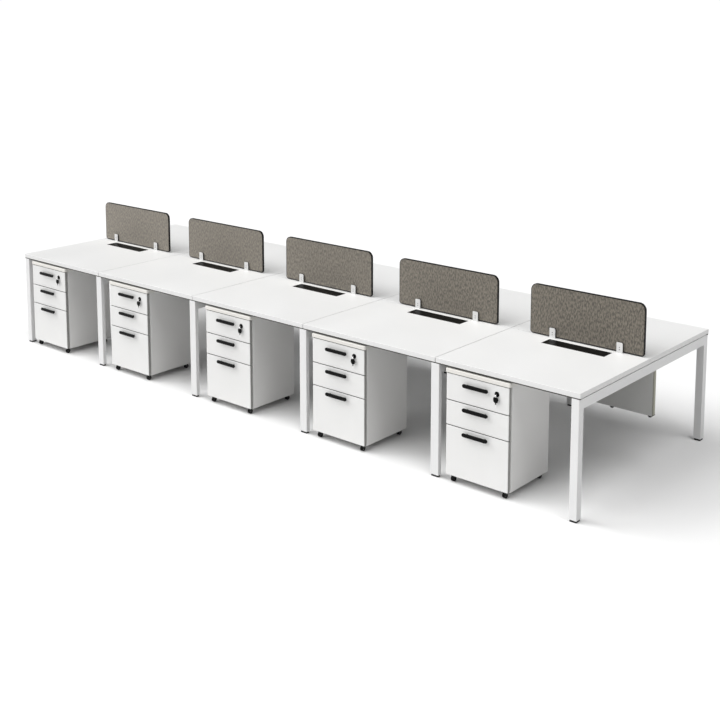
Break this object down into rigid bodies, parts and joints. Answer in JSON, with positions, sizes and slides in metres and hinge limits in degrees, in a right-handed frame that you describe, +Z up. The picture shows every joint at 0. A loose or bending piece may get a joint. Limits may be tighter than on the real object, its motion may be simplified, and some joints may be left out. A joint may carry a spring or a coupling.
{
  "type": "cubicle workstation",
  "caption": "Back-to-back office bench: white desktops on square-tube frames, clamped fabric screens on the centre line, cable flaps, and mobile drawer pedestals.",
  "frame": {"origin": "bottom centre of the whole object's box, on the floor", "axes": "+X along the row to the right as seen from the pedestal side, +Y from the pedestal side to the other row, +Z up"},
  "size_m": [5.25, 1.659, 1.08],
  "materials": {
    "desktop_white": "satin melamine",
    "frame_white": "satin powder coat",
    "glide_black": "matt",
    "screen_fabric": "woven melange",
    "trim_black": "satin",
    "clamp_white": "satin powder coat",
    "screw_steel": "satin",
    "flap_black": "fine grain",
    "panel_grey": "satin melamine",
    "pedestal_white": "satin lacquer",
    "drawer_white": "satin lacquer",
    "handle_black": "satin",
    "key_chrome": "polished",
    "castor_black": "satin"
  },
  "bodies": {
    "bench": {"desktops_front": "desktop_white", "desktops_rear": "desktop_white", "end_legs": "frame_white", "middle_legs": "frame_white", "cross_beams": "frame_white", "long_rails": "frame_white", "leg_glides": "glide_black", "cable_trays": "frame_white", "screen_panels": "screen_fabric", "screen_edge_trims": "trim_black", "screen_clamps": "clamp_white", "clamp_screws": "screw_steel", "flap_frames": "flap_black", "modesty_panels": "panel_grey", "panel_edge_clips": "glide_black"},
    "cable_flap_front_1": {"cable_flap_front_1": "flap_black"},
    "cable_flap_rear_1": {"cable_flap_rear_1": "flap_black"},
    "cable_flap_front_2": {"cable_flap_front_2": "flap_black"},
    "cable_flap_rear_2": {"cable_flap_rear_2": "flap_black"},
    "cable_flap_front_3": {"cable_flap_front_3": "flap_black"},
    "cable_flap_rear_3": {"cable_flap_rear_3": "flap_black"},
    "cable_flap_front_4": {"cable_flap_front_4": "flap_black"},
    "cable_flap_rear_4": {"cable_flap_rear_4": "flap_black"},
    "cable_flap_front_5": {"cable_flap_front_5": "flap_black"},
    "cable_flap_rear_5": {"cable_flap_rear_5": "flap_black"},
    "pedestal_1": {"pedestal_1_cabinet": "pedestal_white"},
    "pedestal_1_drawer_top": {"pedestal_1_drawer_top": "drawer_white"},
    "pedestal_1_drawer_middle": {"pedestal_1_drawer_middle": "drawer_white"},
    "pedestal_1_drawer_file": {"pedestal_1_drawer_file": "drawer_white"},
    "pedestal_1_lock_key": {"pedestal_1_lock_key": "key_chrome"},
    "pedestal_1_front_wheels": {"pedestal_1_front_wheels": "castor_black"},
    "pedestal_1_rear_wheels": {"pedestal_1_rear_wheels": "castor_black"},
    "pedestal_2": {"pedestal_2_cabinet": "pedestal_white"},
    "pedestal_2_drawer_top": {"pedestal_2_drawer_top": "drawer_white"},
    "pedestal_2_drawer_middle": {"pedestal_2_drawer_middle": "drawer_white"},
    "pedestal_2_drawer_file": {"pedestal_2_drawer_file": "drawer_white"},
    "pedestal_2_lock_key": {"pedestal_2_lock_key": "key_chrome"},
    "pedestal_2_front_wheels": {"pedestal_2_front_wheels": "castor_black"},
    "pedestal_2_rear_wheels": {"pedestal_2_rear_wheels": "castor_black"},
    "pedestal_3": {"pedestal_3_cabinet": "pedestal_white"},
    "pedestal_3_drawer_top": {"pedestal_3_drawer_top": "drawer_white"},
    "pedestal_3_drawer_middle": {"pedestal_3_drawer_middle": "drawer_white"},
    "pedestal_3_drawer_file": {"pedestal_3_drawer_file": "drawer_white"},
    "pedestal_3_lock_key": {"pedestal_3_lock_key": "key_chrome"},
    "pedestal_3_front_wheels": {"pedestal_3_front_wheels": "castor_black"},
    "pedestal_3_rear_wheels": {"pedestal_3_rear_wheels": "castor_black"},
    "pedestal_4": {"pedestal_4_cabinet": "pedestal_white"},
    "pedestal_4_drawer_top": {"pedestal_4_drawer_top": "drawer_white"},
    "pedestal_4_drawer_middle": {"pedestal_4_drawer_middle": "drawer_white"},
    "pedestal_4_drawer_file": {"pedestal_4_drawer_file": "drawer_white"},
    "pedestal_4_lock_key": {"pedestal_4_lock_key": "key_chrome"},
    "pedestal_4_front_wheels": {"pedestal_4_front_wheels": "castor_black"},
    "pedestal_4_rear_wheels": {"pedestal_4_rear_wheels": "castor_black"},
    "pedestal_5": {"pedestal_5_cabinet": "pedestal_white"},
    "pedestal_5_drawer_top": {"pedestal_5_drawer_top": "drawer_white"},
    "pedestal_5_drawer_middle": {"pedestal_5_drawer_middle": "drawer_white"},
    "pedestal_5_drawer_file": {"pedestal_5_drawer_file": "drawer_white"},
    "pedestal_5_lock_key": {"pedestal_5_lock_key": "key_chrome"},
    "pedestal_5_front_wheels": {"pedestal_5_front_wheels": "castor_black"},
    "pedestal_5_rear_wheels": {"pedestal_5_rear_wheels": "castor_black"}
  },
  "joints": [
    {"name": "cable_flap_front_1_hinge", "type": "hinge", "parent": "bench", "child": "cable_flap_front_1", "pos_m": [-2.18, -0.04285, 0.74815], "axis": [-1, 0, 0], "range_deg": [0, 90]},
    {"name": "cable_flap_rear_1_hinge", "type": "hinge", "parent": "bench", "child": "cable_flap_rear_1", "pos_m": [-2.18, 0.07185, 0.74815], "axis": [1, 0, 0], "range_deg": [0, 90]},
    {"name": "cable_flap_front_2_hinge", "type": "hinge", "parent": "bench", "child": "cable_flap_front_2", "pos_m": [-1.08, -0.04285, 0.74815], "axis": [-1, 0, 0], "range_deg": [0, 90]},
    {"name": "cable_flap_rear_2_hinge", "type": "hinge", "parent": "bench", "child": "cable_flap_rear_2", "pos_m": [-1.08, 0.07185, 0.74815], "axis": [1, 0, 0], "range_deg": [0, 90]},
    {"name": "cable_flap_front_3_hinge", "type": "hinge", "parent": "bench", "child": "cable_flap_front_3", "pos_m": [0.029, -0.04285, 0.74815], "axis": [-1, 0, 0], "range_deg": [0, 90]},
    {"name": "cable_flap_rear_3_hinge", "type": "hinge", "parent": "bench", "child": "cable_flap_rear_3", "pos_m": [0.029, 0.07185, 0.74815], "axis": [1, 0, 0], "range_deg": [0, 90]},
    {"name": "cable_flap_front_4_hinge", "type": "hinge", "parent": "bench", "child": "cable_flap_front_4", "pos_m": [1.113, -0.04285, 0.74815], "axis": [-1, 0, 0], "range_deg": [0, 90]},
    {"name": "cable_flap_rear_4_hinge", "type": "hinge", "parent": "bench", "child": "cable_flap_rear_4", "pos_m": [1.113, 0.07185, 0.74815], "axis": [1, 0, 0], "range_deg": [0, 90]},
    {"name": "cable_flap_front_5_hinge", "type": "hinge", "parent": "bench", "child": "cable_flap_front_5", "pos_m": [2.178, -0.04285, 0.74815], "axis": [-1, 0, 0], "range_deg": [0, 90]},
    {"name": "cable_flap_rear_5_hinge", "type": "hinge", "parent": "bench", "child": "cable_flap_rear_5", "pos_m": [2.178, 0.07185, 0.74815], "axis": [1, 0, 0], "range_deg": [0, 90]},
    {"name": "pedestal_1_roll", "type": "slide", "parent": "bench", "child": "pedestal_1", "axis": [0, -1, 0], "range_m": [0, 0.6]},
    {"name": "pedestal_1_drawer_top_slide", "type": "slide", "parent": "pedestal_1", "child": "pedestal_1_drawer_top", "axis": [0, -1, 0], "range_m": [0, 0.34]},
    {"name": "pedestal_1_drawer_middle_slide", "type": "slide", "parent": "pedestal_1", "child": "pedestal_1_drawer_middle", "axis": [0, -1, 0], "range_m": [0, 0.34]},
    {"name": "pedestal_1_drawer_file_slide", "type": "slide", "parent": "pedestal_1", "child": "pedestal_1_drawer_file", "axis": [0, -1, 0], "range_m": [0, 0.34]},
    {"name": "pedestal_1_lock_key_turn", "type": "hinge", "parent": "pedestal_1_drawer_top", "child": "pedestal_1_lock_key", "pos_m": [-2.153, -0.8075, 0.625], "axis": [0, -1, 0], "range_deg": [0, 90]},
    {"name": "pedestal_1_front_wheels_spin", "type": "hinge", "parent": "pedestal_1", "child": "pedestal_1_front_wheels", "pos_m": [-2.2915, -0.7745, 0.0173], "axis": [1, 0, 0], "continuous": true},
    {"name": "pedestal_1_rear_wheels_spin", "type": "hinge", "parent": "pedestal_1", "child": "pedestal_1_rear_wheels", "pos_m": [-2.2915, -0.4045, 0.0173], "axis": [1, 0, 0], "continuous": true},
    {"name": "pedestal_2_roll", "type": "slide", "parent": "bench", "child": "pedestal_2", "axis": [0, -1, 0], "range_m": [0, 0.6]},
    {"name": "pedestal_2_drawer_top_slide", "type": "slide", "parent": "pedestal_2", "child": "pedestal_2_drawer_top", "axis": [0, -1, 0], "range_m": [0, 0.34]},
    {"name": "pedestal_2_drawer_middle_slide", "type": "slide", "parent": "pedestal_2", "child": "pedestal_2_drawer_middle", "axis": [0, -1, 0], "range_m": [0, 0.34]},
    {"name": "pedestal_2_drawer_file_slide", "type": "slide", "parent": "pedestal_2", "child": "pedestal_2_drawer_file", "axis": [0, -1, 0], "range_m": [0, 0.34]},
    {"name": "pedestal_2_lock_key_turn", "type": "hinge", "parent": "pedestal_2_drawer_top", "child": "pedestal_2_lock_key", "pos_m": [-1.131, -0.8075, 0.625], "axis": [0, -1, 0], "range_deg": [0, 90]},
    {"name": "pedestal_2_front_wheels_spin", "type": "hinge", "parent": "pedestal_2", "child": "pedestal_2_front_wheels", "pos_m": [-1.2695, -0.7745, 0.0173], "axis": [1, 0, 0], "continuous": true},
    {"name": "pedestal_2_rear_wheels_spin", "type": "hinge", "parent": "pedestal_2", "child": "pedestal_2_rear_wheels", "pos_m": [-1.2695, -0.4045, 0.0173], "axis": [1, 0, 0], "continuous": true},
    {"name": "pedestal_3_roll", "type": "slide", "parent": "bench", "child": "pedestal_3", "axis": [0, -1, 0], "range_m": [0, 0.6]},
    {"name": "pedestal_3_drawer_top_slide", "type": "slide", "parent": "pedestal_3", "child": "pedestal_3_drawer_top", "axis": [0, -1, 0], "range_m": [0, 0.34]},
    {"name": "pedestal_3_drawer_middle_slide", "type": "slide", "parent": "pedestal_3", "child": "pedestal_3_drawer_middle", "axis": [0, -1, 0], "range_m": [0, 0.34]},
    {"name": "pedestal_3_drawer_file_slide", "type": "slide", "parent": "pedestal_3", "child": "pedestal_3_drawer_file", "axis": [0, -1, 0], "range_m": [0, 0.34]},
    {"name": "pedestal_3_lock_key_turn", "type": "hinge", "parent": "pedestal_3_drawer_top", "child": "pedestal_3_lock_key", "pos_m": [-0.035, -0.8075, 0.625], "axis": [0, -1, 0], "range_deg": [0, 90]},
    {"name": "pedestal_3_front_wheels_spin", "type": "hinge", "parent": "pedestal_3", "child": "pedestal_3_front_wheels", "pos_m": [-0.1735, -0.7745, 0.0173], "axis": [1, 0, 0], "continuous": true},
    {"name": "pedestal_3_rear_wheels_spin", "type": "hinge", "parent": "pedestal_3", "child": "pedestal_3_rear_wheels", "pos_m": [-0.1735, -0.4045, 0.0173], "axis": [1, 0, 0], "continuous": true},
    {"name": "pedestal_4_roll", "type": "slide", "parent": "bench", "child": "pedestal_4", "axis": [0, -1, 0], "range_m": [0, 0.6]},
    {"name": "pedestal_4_drawer_top_slide", "type": "slide", "parent": "pedestal_4", "child": "pedestal_4_drawer_top", "axis": [0, -1, 0], "range_m": [0, 0.34]},
    {"name": "pedestal_4_drawer_middle_slide", "type": "slide", "parent": "pedestal_4", "child": "pedestal_4_drawer_middle", "axis": [0, -1, 0], "range_m": [0, 0.34]},
    {"name": "pedestal_4_drawer_file_slide", "type": "slide", "parent": "pedestal_4", "child": "pedestal_4_drawer_file", "axis": [0, -1, 0], "range_m": [0, 0.34]},
    {"name": "pedestal_4_lock_key_turn", "type": "hinge", "parent": "pedestal_4_drawer_top", "child": "pedestal_4_lock_key", "pos_m": [0.998, -0.8075, 0.625], "axis": [0, -1, 0], "range_deg": [0, 90]},
    {"name": "pedestal_4_front_wheels_spin", "type": "hinge", "parent": "pedestal_4", "child": "pedestal_4_front_wheels", "pos_m": [0.8595, -0.7745, 0.0173], "axis": [1, 0, 0], "continuous": true},
    {"name": "pedestal_4_rear_wheels_spin", "type": "hinge", "parent": "pedestal_4", "child": "pedestal_4_rear_wheels", "pos_m": [0.8595, -0.4045, 0.0173], "axis": [1, 0, 0], "continuous": true},
    {"name": "pedestal_5_roll", "type": "slide", "parent": "bench", "child": "pedestal_5", "axis": [0, -1, 0], "range_m": [0, 0.6]},
    {"name": "pedestal_5_drawer_top_slide", "type": "slide", "parent": "pedestal_5", "child": "pedestal_5_drawer_top", "axis": [0, -1, 0], "range_m": [0, 0.34]},
    {"name": "pedestal_5_drawer_middle_slide", "type": "slide", "parent": "pedestal_5", "child": "pedestal_5_drawer_middle", "axis": [0, -1, 0], "range_m": [0, 0.34]},
    {"name": "pedestal_5_drawer_file_slide", "type": "slide", "parent": "pedestal_5", "child": "pedestal_5_drawer_file", "axis": [0, -1, 0], "range_m": [0, 0.34]},
    {"name": "pedestal_5_lock_key_turn", "type": "hinge", "parent": "pedestal_5_drawer_top", "child": "pedestal_5_lock_key", "pos_m": [2.085, -0.8075, 0.625], "axis": [0, -1, 0], "range_deg": [0, 90]},
    {"name": "pedestal_5_front_wheels_spin", "type": "hinge", "parent": "pedestal_5", "child": "pedestal_5_front_wheels", "pos_m": [1.9465, -0.7745, 0.0173], "axis": [1, 0, 0], "continuous": true},
    {"name": "pedestal_5_rear_wheels_spin", "type": "hinge", "parent": "pedestal_5", "child": "pedestal_5_rear_wheels", "pos_m": [1.9465, -0.4045, 0.0173], "axis": [1, 0, 0], "continuous": true}
  ],
  "couplings": [
    {"joint": "pedestal_1_front_wheels_spin", "follows": "pedestal_1_roll", "rad_per_m": 57.803},
    {"joint": "pedestal_1_rear_wheels_spin", "follows": "pedestal_1_roll", "rad_per_m": 57.803},
    {"joint": "pedestal_2_front_wheels_spin", "follows": "pedestal_2_roll", "rad_per_m": 57.803},
    {"joint": "pedestal_2_rear_wheels_spin", "follows": "pedestal_2_roll", "rad_per_m": 57.803},
    {"joint": "pedestal_3_front_wheels_spin", "follows": "pedestal_3_roll", "rad_per_m": 57.803},
    {"joint": "pedestal_3_rear_wheels_spin", "follows": "pedestal_3_roll", "rad_per_m": 57.803},
    {"joint": "pedestal_4_front_wheels_spin", "follows": "pedestal_4_roll", "rad_per_m": 57.803},
    {"joint": "pedestal_4_rear_wheels_spin", "follows": "pedestal_4_roll", "rad_per_m": 57.803},
    {"joint": "pedestal_5_front_wheels_spin", "follows": "pedestal_5_roll", "rad_per_m": 57.803},
    {"joint": "pedestal_5_rear_wheels_spin", "follows": "pedestal_5_roll", "rad_per_m": 57.803}
  ]
}
